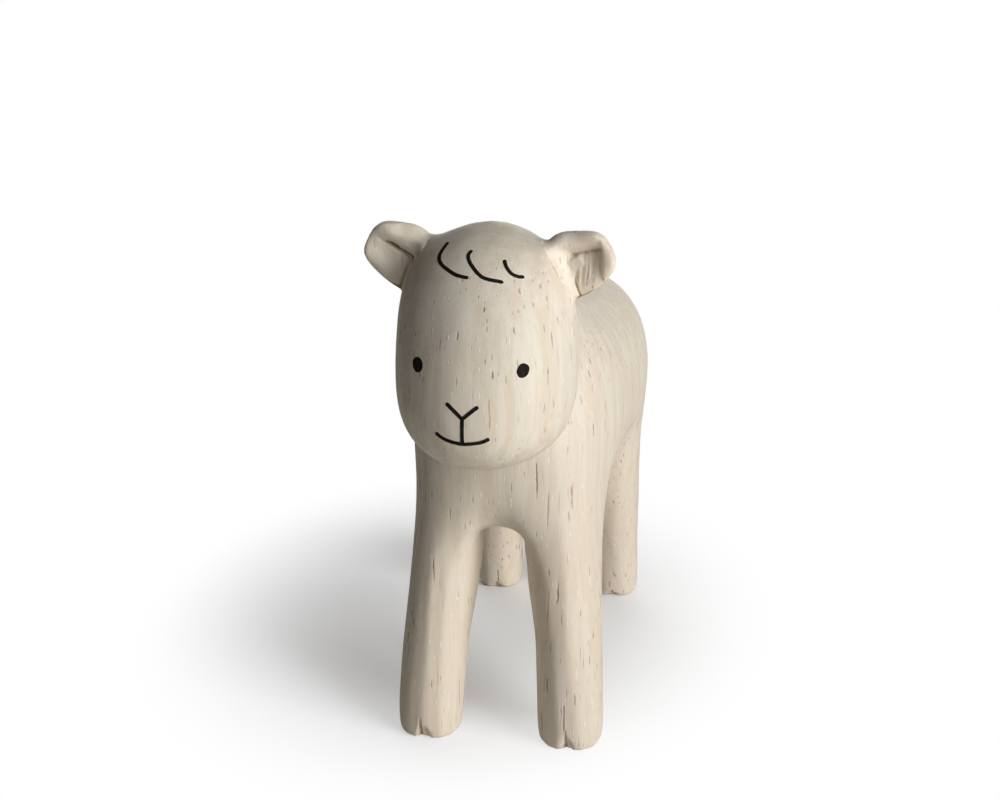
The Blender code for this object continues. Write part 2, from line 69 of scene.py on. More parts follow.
# %% [markdown]
# ## The camera
#
# The photograph looks down a little, from the goat's left front. Its lens was worked out from the stance
# of the four feet and the height of the head, so the camera is set by its place, two turns and a lens.

# %% Set the camera
CAMERA_PLACE = (0.04595, -0.26819, 0.1336)
CAMERA_DOWN = math.radians(17.21)
CAMERA_ROUND = math.radians(10.57)
SENSOR_WIDTH = 36.0
LENS = 62.316

camera_data = bpy.data.cameras.new("photo_camera")
camera_data.sensor_width = SENSOR_WIDTH
camera_data.lens = LENS
camera_data.clip_start = 0.01
camera = bpy.data.objects.new("photo_camera", camera_data)
camera.location = CAMERA_PLACE
camera.rotation_euler = (math.pi / 2 - CAMERA_DOWN, 0, CAMERA_ROUND)
bpy.context.scene.collection.objects.link(camera)
bpy.context.scene.camera = camera
bpy.context.scene.view_settings.view_transform = 'Standard'
print("camera at", CAMERA_PLACE, "with a lens of", LENS, "mm")

# %% [markdown]
# ## Node sums written as sums
#
# A finish is a tree of nodes, and most of those nodes are plain arithmetic. Linking them one at a time
# hides the idea, so a small class wraps a socket and lets Python's operators add the Math nodes. A second
# class holds the tree and has the one method that adds a node of any other kind, settings first.

# %% A socket that can be added and multiplied
class Wire:
    """An output socket whose sums and products are Math nodes in its tree."""

    def __init__(self, owner, socket):
        self.owner = owner
        self.socket = socket

    def math(self, operation, *values):
        return self.owner.node("ShaderNodeMath", {"operation": operation}, dict(enumerate(values)))

    def __add__(self, other):
        return self.math('ADD', self, other)

    def __radd__(self, other):
        return self.math('ADD', other, self)

    def __sub__(self, other):
        return self.math('SUBTRACT', self, other)

    def __rsub__(self, other):
        return self.math('SUBTRACT', other, self)

    def __mul__(self, other):
        return self.math('MULTIPLY', self, other)

    def __rmul__(self, other):
        return self.math('MULTIPLY', other, self)

    def __abs__(self):
        return self.math('ABSOLUTE', self)

    def ease(self, start, end):
        """0 below start and 1 above end, with a soft step between, also when start is the larger."""
        return self.owner.node("ShaderNodeMapRange", {"interpolation_type": 'SMOOTHSTEP'},
                               {"Value": self, "From Min": start, "From Max": end})


print("a wire knows:", [name for name, what in vars(Wire).items() if callable(what)])

# %% A tree of nodes, and a finish
class NodeTree:
    """A tree of nodes and the one way to add a node to it."""

    def __init__(self, tree):
        self.tree = tree

    def node(self, kind, settings, sockets, output=0):
        made = self.tree.nodes.new(kind)
        for name, value in settings.items():
            setattr(made, name, value)
        self.feed(made, sockets)
        return Wire(self, made.outputs[output])

    def feed(self, node, sockets):
        for name, value in sockets.items():
            if isinstance(value, Wire):
                self.tree.links.new(value.socket, node.inputs[name])
            else:
                node.inputs[name].default_value = value

    def vector(self, operation, a, b):
        return self.node("ShaderNodeVectorMath", {"operation": operation}, {0: a, 1: b})

    def mix(self, share, a, b):
        """Colour a where share is 0 and colour b where it is 1."""
        return self.node("ShaderNodeMix", {"data_type": 'RGBA'}, {0: share, 6: a, 7: b}, 2)

    def noise(self, place, fineness, detail, roughness=0.5, output="Fac"):
        """Noise at a place, with a fineness for each axis."""
        fine = self.vector('MULTIPLY', place, fineness)
        return self.node("ShaderNodeTexNoise", {}, {"Vector": fine, "Scale": 1.0, "Detail": detail,
                                                    "Roughness": roughness}, output)


class Finish(NodeTree):
    """A material with a Principled shader."""

    def __init__(self, name):
        self.material = bpy.data.materials.new(name)
        self.material.use_nodes = True
        super().__init__(self.material.node_tree)
        self.shader = self.tree.nodes["Principled BSDF"]


print("a tree knows:", [name for name, what in vars(NodeTree).items() if callable(what)])

# %% [markdown]
# ## Pale wood: how the grain runs
#
# The block is a soft tropical hardwood, sanded and left bare. Its grain stands upright in every piece, so
# each pattern reads the object's own coordinates and is stretched along Z. Real grain is never quite
# straight: a slow noise pushes it sideways across the block, and a quick one makes each line tremble.

# %% Let the grain wander
MIDDLE = (0.5, 0.5, 0.5)
DRIFT = (2.2, 2.2, 0.0)
TREMBLE = (0.28, 0.28, 0.0)


def grain(wood, shift):
    """The place in metres and in millimetres, the quick sideways push, and both pushes together."""
    metres = wood.node("ShaderNodeTexCoord", {}, {}, "Object")
    place = wood.vector('ADD', wood.vector('MULTIPLY', metres, (1000.0, 1000.0, 1000.0)), shift)
    drift = wood.noise(place, (0.12, 0.12, 0.05), 1.0, output="Color")
    drift = wood.vector('MULTIPLY', wood.vector('SUBTRACT', drift, MIDDLE), DRIFT)
    tremble = wood.noise(place, (0.5, 0.5, 0.9), 1.0, output="Color")
    tremble = wood.vector('MULTIPLY', wood.vector('SUBTRACT', tremble, MIDDLE), TREMBLE)
    return metres, place, tremble, wood.vector('ADD', drift, tremble)


print("the grain wanders by up to", DRIFT[0] / 2, "mm and trembles by", TREMBLE[0] / 2, "mm")

# %% [markdown]
# ## Pale wood: pores
#
# A pore is a long thin tube that runs with the grain. Where the surface follows the grain it shows as a
# dark dash, and where the surface cuts across, as on top of the head, as a dot. Cells of a Voronoi texture
# stretched along Z do both at once, because each is a solid in space. A random number from the cell's
# colour leaves some cells empty and makes other marks faint, and a little noise tears their edges. The same
# way makes long thin lines, short dashes, flecks of dust from the sanding, and a painted highlight: a pale
# mark beside each pore, moved to the side where the pore's wall would catch the light.

# %% Scatter long marks along the grain
MARKS = {  # cell width and height and the pattern's shift in mm, how torn, the edge, and the chance
    "pores": (0.92, 22.0, (3.6, 7.7, 8.9), 0.10, (0.19, 0.11), (0.35, 0.8)),
    # This row is painted highlight: the pore pattern moved 0.3 mm, so its pale mark lies on the lit side of
    # each pore.
    "pore_highlights": (0.92, 22.0, (3.9, 7.6, 9.1), 0.16, (0.19, 0.11), (0.35, 0.8)),
    "lines": (0.78, 38.0, (15.1, 2.9, 17.7), 0.05, (0.18, 0.09), (0.25, 0.65)),
    "dashes": (0.68, 5.5, (8.3, 1.7, 4.4), 0.12, (0.23, 0.12), (0.55, 0.95)),
    "dust": (0.8, 3.4, (5.5, 9.1, 3.3), 0.10, (0.20, 0.10), (0.35, 0.6)),
}


def marks(wood, place, push, ragged, kind):
    """1 inside a mark of that kind and 0 outside."""
    cell, tall, shift, torn, edge, chance = MARKS[kind]
    moved = wood.vector('ADD', wood.vector('ADD', place, shift), push)
    stretched = wood.vector('MULTIPLY', moved, (1 / cell, 1 / cell, 1 / tall))
    far = wood.node("ShaderNodeTexVoronoi", {"feature": 'F1'}, {"Vector": stretched, "Scale": 1.0},
                    "Distance")
    colour = Wire(wood, far.socket.node.outputs["Color"])
    random = wood.node("ShaderNodeSeparateColor", {}, {"Color": colour}, "Red")
    return (far + (ragged - 0.5) * torn).ease(*edge) * random.ease(*chance)


print("kinds of mark:", list(MARKS))

# %% [markdown]
# ## Pale wood: the colours
#
# Bands of the yearly growth run from pale to warm, with a greyer cloud here and there and a tan that grows
# toward the feet. Over them lie fine fibres and then the marks, one layer mixed over the other. The ears
# carry two more layers of painted shade: browner where they are cut deep, dark brown deep in the slits.

# %% Choose the colours
PALE, WARM, CLOUD = (0.80, 0.735, 0.620), (0.735, 0.635, 0.500), (0.73, 0.655, 0.575)
TAN, FIBRE = (0.73, 0.625, 0.495), (0.60, 0.50, 0.385)
LINE, PORE_HIGHLIGHT, DASH = (0.34, 0.235, 0.155), (0.88, 0.83, 0.745), (0.36, 0.26, 0.18)
PORE, DUST = (0.27, 0.185, 0.12), (0.90, 0.865, 0.79)
HOLLOW_SHADE, DEEP_CUT_SHADE = (0.50, 0.41, 0.30), (0.17, 0.12, 0.075)
print("bare wood runs from", PALE, "to", WARM)


# %% Mix the wood
def wood_finish(name, shift=(0.0, 0.0, 0.0), tone=1.0):
    """Bare wood with upright grain; for a piece from another block, shift moves the pattern and tone
    lightens the wood."""
    wood = Finish(name)
    metres, place, tremble, push = grain(wood, shift)
    bent = wood.vector('ADD', place, push)
    bands = wood.noise(bent, (0.55, 0.55, 0.02), 3.0, 0.55)
    fibres = wood.noise(bent, (3.2, 3.2, 0.12), 4.0, 0.65)
    clouds = wood.noise(place, (0.10, 0.10, 0.05), 2.0)
    ragged = wood.noise(place, (4.0, 4.0, 1.6), 2.0)
    high = wood.node("ShaderNodeSeparateXYZ", {}, {"Vector": metres}, "Z") * 1000.0
    outward = wood.node("ShaderNodeTexCoord", {}, {}, "Normal")
    up = wood.node("ShaderNodeSeparateXYZ", {}, {"Vector": outward}, "Z")
    with_grain = 1.0 - abs(up).ease(0.28, 0.85) * 0.85

    pores = marks(wood, place, push, ragged, "pores") * with_grain
    lines = marks(wood, place, push, ragged, "lines") * with_grain
    dashes = marks(wood, place, push, ragged, "dashes") * with_grain
    # Painted highlight: a pale mark on the lit side of each pore.
    pore_highlights = marks(wood, place, push, ragged, "pore_highlights")
    dust = marks(wood, place, tremble, ragged, "dust")
    gouged = wood.node("ShaderNodeAttribute", {"attribute_name": "gouged"}, {}, "Fac")

    def toned(colour, by=tone):
        return tuple(by * part for part in colour) + (1.0,)

    colour = wood.mix(bands.ease(0.37, 0.63) * 0.8 + 0.08, toned(PALE), toned(WARM))
    # The last two layers are painted shade: browner where an ear is cut deep, dark brown deepest in its
    # slits.
    for share, layer in ((clouds.ease(0.42, 0.72) * 0.45, toned(CLOUD)),
                         (high.ease(58.0, 30.0) * 0.4, toned(TAN)),
                         (fibres.ease(0.46, 0.72) * 0.34, toned(FIBRE)),
                         (lines * 0.62, toned(LINE, 1.0)), (pore_highlights * 0.5, toned(PORE_HIGHLIGHT, 1.0)),
                         (dashes * 0.55, toned(DASH, 1.0)), (pores * 0.72, toned(PORE, 1.0)),
                         (dust * 0.55, toned(DUST, 1.0)),
                         (gouged.ease(0.15, 1.1) * 0.12, toned(HOLLOW_SHADE, 1.0)),
                         (gouged.ease(0.9, 1.7) * 0.75, toned(DEEP_CUT_SHADE, 1.0))):
        colour = wood.mix(share, colour, layer)

    height = fibres * -0.12 - pores - lines * 0.35 - dashes * 0.7 + dust * 0.3
    bump = wood.node("ShaderNodeBump", {}, {"Height": height, "Strength": 0.5, "Distance": 0.22 * MM})
    wood.feed(wood.shader, {"Base Color": colour, "Roughness": 0.60 + pores * 0.2 + fibres * 0.14,
                            "Normal": bump, "Specular IOR Level": 0.35})
    return wood.material


block_wood = wood_finish("block_wood")
ear_wood = wood_finish("ear_wood", shift=(17.0, 5.0, 9.0), tone=1.1)
offcut_wood = wood_finish("offcut_wood", shift=(41.0, 13.0, 27.0))
print("wood nodes:", len(block_wood.node_tree.nodes))

# %% [markdown]
# ## Where the head and the ears are
#
# The head is turned a little to the goat's right, and each ear leans up from the side of the head. Carving
# an ear or painting a stroke is easier in the piece's own directions, so one function turns the head's
# millimetres into the scene's metres, and another reads a point in an ear's directions.

# %% Set up the directions of the head and the ears
HEAD_PLACE = Vector((-0.054, -31.788, 0.0))
HEAD_TURN = Matrix.Rotation(math.radians(-3.0), 3, 'Z')
HEAD_BASE = 49.9
HEAD_TOP = 85.3
EAR_ROOT = Vector((10.6, 1.0, 78.5))
EAR_LEAN = math.radians(29.0)


def from_head(spot):
    """A point in the head's own millimetres, as a point of the scene."""
    return (HEAD_PLACE + HEAD_TURN @ Vector(spot)) * MM


def in_head(point):
    """A scene point in the head's own millimetres."""
    return HEAD_TURN.transposed() @ (point / MM - HEAD_PLACE)


def in_ear(point, side):
    """How far out, up and forward of the ear's root a scene point lies, in millimetres."""
    spot = in_head(point)
    across, back, rise = side * spot.x - EAR_ROOT.x, spot.y - EAR_ROOT.y, spot.z - EAR_ROOT.z
    out = across * math.cos(EAR_LEAN) + rise * math.sin(EAR_LEAN)
    up = rise * math.cos(EAR_LEAN) - across * math.sin(EAR_LEAN)
    return out, up, -back


def toward_front(amount):
    """A step of that many millimetres straight out of the face."""
    return HEAD_TURN @ Vector((0.0, -amount * MM, 0.0))


print("crown of the head at", tuple(round(c, 4) for c in from_head((0, 0, HEAD_TOP))))

# %% [markdown]
# ## One skin over the carved block
#
# On the real figurine the head sinks into the chest in a soft crease, and the cheek on the goat's left runs
# into the shoulder with no edge at all. The packed solids meet in sharp lines. A sculptor's way is to lay
# one skin of small even squares over all of them, sand that skin where the knife would have rounded it, and
# saw it apart again along the same joints. First come the small tools that join the packed meshes, search
# them and turn a mesh into a piece.

# %% Join, search and make
def merged(*names):
    """One bmesh with those nodes' meshes, their loose triangles joined."""
    skin = bmesh.new()
    for name in names:
        skin.from_mesh(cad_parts[name].data)
    bmesh.ops.remove_doubles(skin, verts=skin.verts, dist=1e-6)
    return skin


def surface(*names):
    """A search tree over those nodes, to ask how near a point lies to them."""
    skin = merged(*names)
    tree = BVHTree.FromBMesh(skin)
    skin.free()
    return tree


def make_piece(skin, name):
    """Puts a bmesh in the scene as an object at the origin."""
    mesh = bpy.data.meshes.new(name)
    skin.to_mesh(mesh)
    skin.free()
    piece = bpy.data.objects.new(name, mesh)
    bpy.context.scene.collection.objects.link(piece)
    return piece


def worked_out(piece):
    """The piece's shape with its modifiers done, as a bmesh; the piece itself goes."""
    graph = bpy.context.evaluated_depsgraph_get()
    skin = bmesh.new()
    skin.from_object(piece, graph)
    bpy.data.objects.remove(piece)
    return skin


print("triangles in the packed block:", len(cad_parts["body"].data.polygons))

# %% [markdown]
# ## Even squares
#
# The Remesh modifier lays the squares. The glue gaps between the pieces are a tenth of a millimetre wide,
# and a gap would be a wall in the skin, so Displace swells everything by that much first. The swelling is
# taken off again afterwards, and the small bubbles that it closed in, such as the ends of the pin holes,
# are dropped: only the largest shell is the outside of the goat.

# %% Lay the skin over the block, the head and the ears
SKIN_SQUARE = 0.44 * MM
GAP_CLOSER = 0.1 * MM


def reskin(skin, square, grow):
    """The same shape in even squares; grow closes glue gaps first and is taken off again."""
    piece = make_piece(skin, "reskin")
    swell = piece.modifiers.new("swell", 'DISPLACE')
    swell.strength = grow
    swell.mid_level = 0.0
    squares = piece.modifiers.new("squares", 'REMESH')
    squares.mode = 'VOXEL'
    squares.voxel_size = square
    return keep_largest(worked_out(piece), grow)


def keep_largest(skin, grow):
    """Drops the small bubbles inside, and takes the swelling off the skin."""
    left = set(skin.verts)
    shells = []
    while left:
        shell, edge_of_it = set(), [left.pop()]
        while edge_of_it:
            vert = edge_of_it.pop()
            shell.add(vert)
            near = {e.other_vert(vert) for e in vert.link_edges} & left
            left -= near
            edge_of_it.extend(near)
        shells.append(shell)
    outer = max(shells, key=len)
    bmesh.ops.delete(skin, geom=[v for v in skin.verts if v not in outer], context='VERTS')
    skin.normal_update()
    for vert in skin.verts:
        vert.co -= vert.normal * grow
    return skin


skin = reskin(merged("body", "head", "left_ear", "right_ear", "neck_dowel", "left_ear_pin", "right_ear_pin"),
              SKIN_SQUARE, GAP_CLOSER)
print("squares in the skin:", len(skin.faces))

# %% [markdown]
# ## Finding the joints again
#
# The skin has no memory of its pieces. A corner near a joint is near both solids, so the larger of its two
# distances says how far away the joint is. The saw needs a flat cut. The corners closest to a joint almost
# lie in a plane, and the direction in which they spread least is the direction across it.

# %% Measure the way to each joint and fit the cuts
FAR_AWAY = 99.0
ON_THE_JOINT = 0.35

block, head_solid = surface("body"), surface("head")
ear_solids = {1: surface("left_ear"), -1: surface("right_ear")}


def joint_distance(point, one, other):
    """How far a point is from the joint of two solids, in millimetres."""
    return max(one.find_nearest(point)[3], other.find_nearest(point)[3]) / MM


def seam_plane(distances):
    """A point of the flat cut that lies closest to a joint, and the direction across it."""
    spots = np.array([v.co for v, far in zip(skin.verts, distances) if far < ON_THE_JOINT])
    middle = spots.mean(0)
    across = np.linalg.eigh((spots - middle).T @ (spots - middle))[1][:, 0]
    print("joint points:", len(spots), "furthest off the cut, mm:",
          round(float(np.abs((spots - middle) @ across).max() / MM), 2))
    return Vector(middle), Vector(across)


neck_far = [joint_distance(v.co, block, head_solid) if v.co.y < 0.005 and v.co.z > 0.045 else FAR_AWAY
            for v in skin.verts]
ear_far = {side: [joint_distance(v.co, solid, head_solid) if v.co.z > 0.07 else FAR_AWAY for v in skin.verts]
           for side, solid in ear_solids.items()}
neck_cut = seam_plane(neck_far)
ear_cuts = {side: seam_plane(far) for side, far in ear_far.items()}

# %% [markdown]
# ## The arch between the front legs
#
# Seen from the front, the wood between the front legs ends in an arch that is a little narrower at its top
# than the packed solid's, by under a millimetre. The inner sides of both legs move toward each other there,
# the goat's left one more, and every limit is a soft step, so nothing shows where the change begins.

# %% Narrow the arch
ARCH_LEFT = 0.95
ARCH_RIGHT = 0.55


def fade(value, start, end):
    """0 before start and 1 past end, with a soft step between; start may be the larger."""
    share = min(1.0, max(0.0, (value - start) / (end - start)))
    return share * share * (3.0 - 2.0 * share)


moved = 0
for vert in skin.verts:
    spot = vert.co / MM
    if spot.y < -10 and 15 < spot.z < 35 and abs(spot.x) < 9:
        side = math.copysign(1.0, spot.x)
        inward = max(0.0, -vert.normal.x * side) * (ARCH_LEFT if side > 0 else ARCH_RIGHT)
        share = fade(spot.z, 15.0, 27.0) * fade(spot.z, 34.5, 31.0) * fade(spot.y, -10.0, -15.0)
        vert.co.x -= side * inward * share * MM
        moved += 1
print("corners moved in the arch:", moved)

# %% [markdown]
# ## The cheek and the crown
#
# On the goat's left a shallow valley lies between the cheek and the shoulder. The photograph shows a plain
# slope there, so a straight one is laid from the side of the head back to the shoulder, and whatever lies
# below it comes up. The crown is a little fuller beside the ears, whose tops run softly into it.

# %% Fill the valley behind the cheek
CHEEK_SIDE = ((50.0, 9.0), (54.0, 10.9), (58.0, 12.75), (62.0, 13.2), (66.0, 13.25), (70.0, 13.0),
              (78.0, 12.0))
CHEEK_SLOPE = 0.115
CHEEK_FRONT = -31


def cheek_side(z):
    """How far to the goat's left the head reaches at a height, in millimetres."""
    return float(np.interp(z, *np.array(CHEEK_SIDE).T))


raised = 0
for vert, far in zip(skin.verts, neck_far):
    spot = vert.co / MM
    if far < 14 and spot.x > 4 and CHEEK_FRONT < spot.y < 4:
        slope = cheek_side(spot.z) - 0.2 - CHEEK_SLOPE * (spot.y - CHEEK_FRONT)
        share = fade(spot.z, 52.5, 59.0) * fade(spot.z, 72.5, 66.0) * fade(far, 14.0, 7.0)
        lift = max(0.0, slope - spot.x) * share
        vert.co.x += lift * MM
        raised += lift > 0.2
print("corners raised in the valley:", raised)

# %% Fill out the crown
CROWN_FILL = 0.85

for vert in skin.verts:
    spot = vert.co / MM
    if spot.z > 76:
        local = in_head(vert.co)
        hump = math.exp(-((abs(local.x) - 9.4) / 2.4) ** 2 - ((local.y - 1.0) / 5.0) ** 2)
        outward = Vector((math.copysign(0.45, local.x), 0.0, 0.9))
        vert.co += HEAD_TURN @ outward * hump * CROWN_FILL * MM
print("top of the skin, mm:", round(max(v.co.z for v in skin.verts) / MM, 2))

# %% [markdown]
# ## Sanding the creases
#
# Sanding is the smoothing operator, run many times. A Smooth modifier would treat the whole skin alike, so
# each corner gets a share: with a half it takes part in half of the rounds, and the work fades out softly.
# Under the chin the crease is a narrow hollow, and thirty rounds within two millimetres are enough, fewer
# right in front, where it is crisper. The cheek is sanded wide. The tops of the ears run into the crown,
# but their lower edges stay crisp. The soles were sawn, then their edges rubbed on paper.

# %% Make the sanding tool
ROUNDS = {"everywhere": 3, "chin": 30, "cheek": 70, "ear tops": 80, "soles": 10}


def sand(skin, shares, rounds, fill=False):
    """Smooths the skin by shares and rounds. With fill it only fills hollows: a corner that would sink
    stays where it was."""
    order = sorted(((share, index) for index, share in enumerate(shares) if share > 0), reverse=True)
    skin.verts.ensure_lookup_table()
    verts = [skin.verts[index] for share, index in order]
    for turn in range(rounds):
        while verts and order[len(verts) - 1][0] * rounds <= turn:
            verts.pop()
        if not verts:
            break
        if fill and turn % 5 == 0:
            skin.normal_update()
            before = [(vert, vert.co.copy(), vert.normal.copy()) for vert in verts]
        bmesh.ops.smooth_vert(skin, verts=verts, factor=0.5, use_axis_x=True, use_axis_y=True,
                              use_axis_z=True)
        if fill and turn % 5 == 4:
            for vert, place, outward in before:
                if (vert.co - place).dot(outward) < 0:
                    vert.co = place
    skin.normal_update()


print("rounds of sanding:", ROUNDS)

# %% Sand
sand(skin, [1.0] * len(skin.verts), ROUNDS["everywhere"])
chin = [1.0 - 0.6 * fade(v.co.y / MM, -18.0, -24.0) * fade(v.co.x / MM, 8.0, 5.0) for v in skin.verts]
chin = [share * fade(far, 1.8, 0.6) for share, far in zip(chin, neck_far)]
sand(skin, chin, ROUNDS["chin"], fill=True)
cheek = [fade(far, 12.0, 6.0) * fade(v.co.x / MM, 2.5, 7.0) * fade(v.co.z / MM, 46.0, 52.5)
         * fade(v.co.z / MM, 75.0, 68.0) if far < 12 else 0.0 for v, far in zip(skin.verts, neck_far)]
sand(skin, cheek, ROUNDS["cheek"])
for side, far in ear_far.items():
    tops = [fade(d, 5.0, 2.0) * fade(in_ear(v.co, side)[1], 0.5, 3.5) if d < 5 else 0.0
            for v, d in zip(skin.verts, far)]
    sand(skin, tops, ROUNDS["ear tops"], fill=True)
soles = [fade(v.co.z / MM, 1.4, 0.5) for v in skin.verts]
sand(skin, soles, ROUNDS["soles"])
print("corners sanded at the cheek:", sum(share > 0 for share in cheek))

# %% [markdown]
# ## Marks of the knife
#
# Even sanded wood isn't a perfect egg: long shallow flats left by the knife run up the legs and the chest.
# A flat is where the knife took most off the middle and nothing off its edges. So the way that each corner
# faces is cut into steps of forty degrees, the middle of a step goes in by up to a tenth of a millimetre,
# and noise stretched upright makes the flats wander and adds smaller dips. Under the chin the knife went
# deeper into the joint. Last, the soles are set back on the floor, flat.

# %% Leave shallow flats
FLAT_TURN = math.radians(40)
CHIN_GROOVE = 0.7
SOLE_WEAR = 0.15
FOOT_HEIGHT = 3.0

for vert, far in zip(skin.verts, neck_far):
    spot = vert.co / MM
    if far < 4 and spot.y < -15:
        deep = math.exp(-(far / 1.3) ** 2)
        vert.co -= vert.normal * CHIN_GROOVE * MM * deep * fade(spot.y, -15, -22) * fade(spot.x, 9, 4)
    upright = math.hypot(vert.normal.x, vert.normal.y)
    wander = noise.noise(Vector((spot.x * 0.10, spot.y * 0.10, spot.z * 0.03)))
    turn = math.atan2(vert.normal.y, vert.normal.x) / FLAT_TURN + 0.9 * wander
    off = 2.0 * (turn - round(turn))
    flat = (0.03 + 0.07 * fade(spot.z, 40.0, 26.0)) * upright * (0.5 + 0.5 * math.cos(math.pi * off))
    broad = 0.10 * noise.noise(Vector((spot.x * 0.16, spot.y * 0.16, spot.z * 0.045 + 3.0)))
    small = 0.05 * noise.noise(Vector((spot.x * 0.45, spot.y * 0.45, spot.z * 0.11)))
    vert.co -= vert.normal * (0.06 + flat + broad + small) * MM
for vert in skin.verts:
    if vert.co.z < FOOT_HEIGHT * MM:
        vert.co.z = max(0.0, (vert.co.z - SOLE_WEAR * MM) * FOOT_HEIGHT / (FOOT_HEIGHT - SOLE_WEAR))
print("lowest point, mm:", round(min(v.co.z for v in skin.verts) / MM, 3))

# %% [markdown]
# ## Sawing the skin apart again
#
# The head, the ears and the block are pieces of their own, so the skin is cut by a flat saw at each joint
# and every half is closed. A Boolean with a large box could do it. The operator that bisects a mesh is
# simpler: it clears one side and returns the rim of the cut, which is then filled with a flat face.

# %% Saw the skin into pieces
def saw(skin, cut, keep):
    """The half of the skin that has the point keep on its side of the cut, closed with a flat face."""
    place, across = cut
    if (keep - place).dot(across) > 0:
        across = -across
    half = skin.copy()
    found = bmesh.ops.bisect_plane(half, geom=half.verts[:] + half.edges[:] + half.faces[:], dist=1e-7,
                                   plane_co=place, plane_no=across, clear_outer=True, clear_inner=False)
    rim = [e for e in found["geom_cut"] if isinstance(e, bmesh.types.BMEdge)]
    lids = bmesh.ops.edgeloop_fill(half, edges=rim)["faces"]
    bmesh.ops.triangulate(half, faces=lids)
    bmesh.ops.recalc_face_normals(half, faces=half.faces)
    return half


IN_THE_HIPS = Vector((0, 0.02, 0.02))
IN_THE_HEAD = from_head((0, 0, 68.0))
trunk_skin = saw(skin, neck_cut, IN_THE_HIPS)
head_skin = saw(skin, neck_cut, IN_THE_HEAD)
ear_skins = {}
for side, cut in ear_cuts.items():
    ear_skins[side] = saw(head_skin, cut, from_head((side * 16.0, 1.0, 81.0)))
    shorn = saw(head_skin, cut, IN_THE_HEAD)
    head_skin.free()
    head_skin = shorn
skin.free()
for name, part in (("trunk", trunk_skin), ("head", head_skin), ("left ear", ear_skins[1]),
                   ("right ear", ear_skins[-1])):
    print(name, "faces:", len(part.faces), "open edges:", sum(e.is_boundary for e in part.edges))

# %% [markdown]
# ## The cuts in the ears
#
# The two ears differ, as they do on a hand-carved piece. The goat's right ear has one straight knife cut
# from the tip to the head, and its upper lip rolls down into that cut over a crisp lower edge. The left one
# is gouged out, with a rim round the top and the tip and upright tool marks in the hollow. Each ear's cut
# is a function: for a point out and up from the ear's root it says how deep the front face goes there.
# Lines across the ear, each from one point to another, say where a slit or an edge runs.

# %% The cut in the goat's right ear
RIGHT_SLIT = (1.1, 0.56), (6.8, 0.50)
RIGHT_LOWER_EDGE = (1.05, 0.5), (0.5, -4.9)


def beside(out, up, start, end):
    """How far a point is to the upper side of the line between two points, and its share along it."""
    run, rise = end[0] - start[0], end[1] - start[1]
    length = math.hypot(run, rise)
    along = ((out - start[0]) * run + (up - start[1]) * rise) / length ** 2
    aside = ((up - start[1]) * run - (out - start[0]) * rise) / length
    return aside, along


def cupped(out, up):
    """Both ears are cupped forward: set back where they leave the head, further forward at the tip."""
    return 0.85 * fade(out, 4.5, 0.2) * fade(up, 4.0, 2.2) - 0.8 * fade(out, 3.5, 8.2)


def right_ear_cut(out, up):
    """How far back the front face of the goat's right ear moves, in millimetres."""
    aside, along = beside(out, up, *RIGHT_SLIT)
    deep = fade(along, 1.04, 0.55)
    rolled = fade(aside, -0.12, 0.16) * math.exp(-max(0.0, aside) / (0.5 + 0.5 * deep))
    face = (0.10 + 0.85 * rolled) * deep
    slit = 0.8 * deep * math.exp(-((aside - 0.14) / 0.20) ** 2)
    lip = 0.8 * fade(aside, 0.1, 1.5) * fade(aside, 4.4, 1.9) * fade(along, 1.2, 0.6)
    edge, down = beside(out, up, *RIGHT_LOWER_EDGE)
    width = 0.16 + 0.14 * max(0.0, down)
    groove = (0.7 + 0.3 * down) * math.exp(-(edge / width) ** 2) * fade(down, -0.04, 0.08)
    return cupped(out, up) + face + slit + groove - lip


print("right ear, depth in the slit, mm:", round(right_ear_cut(3.0, 0.6), 2))

# %% The cut in the goat's left ear
LEFT_CREASE = (2.0, 1.5), (6.8, 0.25)
LEFT_TIP_WALL = (6.9, 0.3), (5.2, -3.1)
LEFT_LOWER_EDGE = (1.6, -0.6), (0.7, -4.6)


def left_ear_cut(out, up):
    """The same for the goat's left ear: a hollow with a floor that rises from a crease to the lower edge."""
    crease, along = beside(out, up, *LEFT_CREASE)
    wall, down = beside(out, up, *LEFT_TIP_WALL)
    reach = fade(wall, 0.35, -0.15) if crease < 0 else fade(along, 1.08, 0.95)
    upper = fade(crease, 1.9, 0.0) if crease > 0 else math.exp(crease / 2.8)
    hollow = 1.15 * upper * reach * fade(along, -0.35, 0.1)
    slit = 0.3 * math.exp(-(crease / 0.3) ** 2) * fade(along, 1.02, 0.85) * fade(along, 0.0, 0.15)
    slit *= 0.6 + 0.8 * noise.noise(Vector((out * 1.3, 0.0, 2.0)))
    across = out * 0.88 - up * 0.48
    tool_marks = 0.17 * noise.noise(Vector((across * 2.1, (out + up) * 0.16, 4.0)))
    tool_marks += 0.10 * noise.noise(Vector((across * 4.5, (out + up) * 0.30, 9.0)))
    tool_marks *= fade(crease, 0.4, -0.2) * fade(crease, -5.5, -2.5) * reach * fade(out, 0.8, 1.6)
    edge, low = beside(out, up, *LEFT_LOWER_EDGE)
    groove = 0.5 * math.exp(-(edge / 0.14) ** 2) * fade(low, 0.15, 0.5)
    return cupped(out, up) + hollow + slit + tool_marks + groove


print("left ear, depth in the crease, mm:", round(left_ear_cut(3.0, 1.2), 2))

# %% [markdown]
# ## Carving the ears
#
# The cuts are finer than the squares, so every edge is halved, and halved once more, before the corners of
# the front face move back. The sawn end is open meanwhile, because a flat face left in place would stand
# out past the carved front. A pin runs inside each ear, and no cut may bare it. How deep each corner was
# cut is kept in an attribute, so that the wood's finish can paint shade into the deep ones.

# %% Carve the ears
PIN_BACK_WALL = 0.22


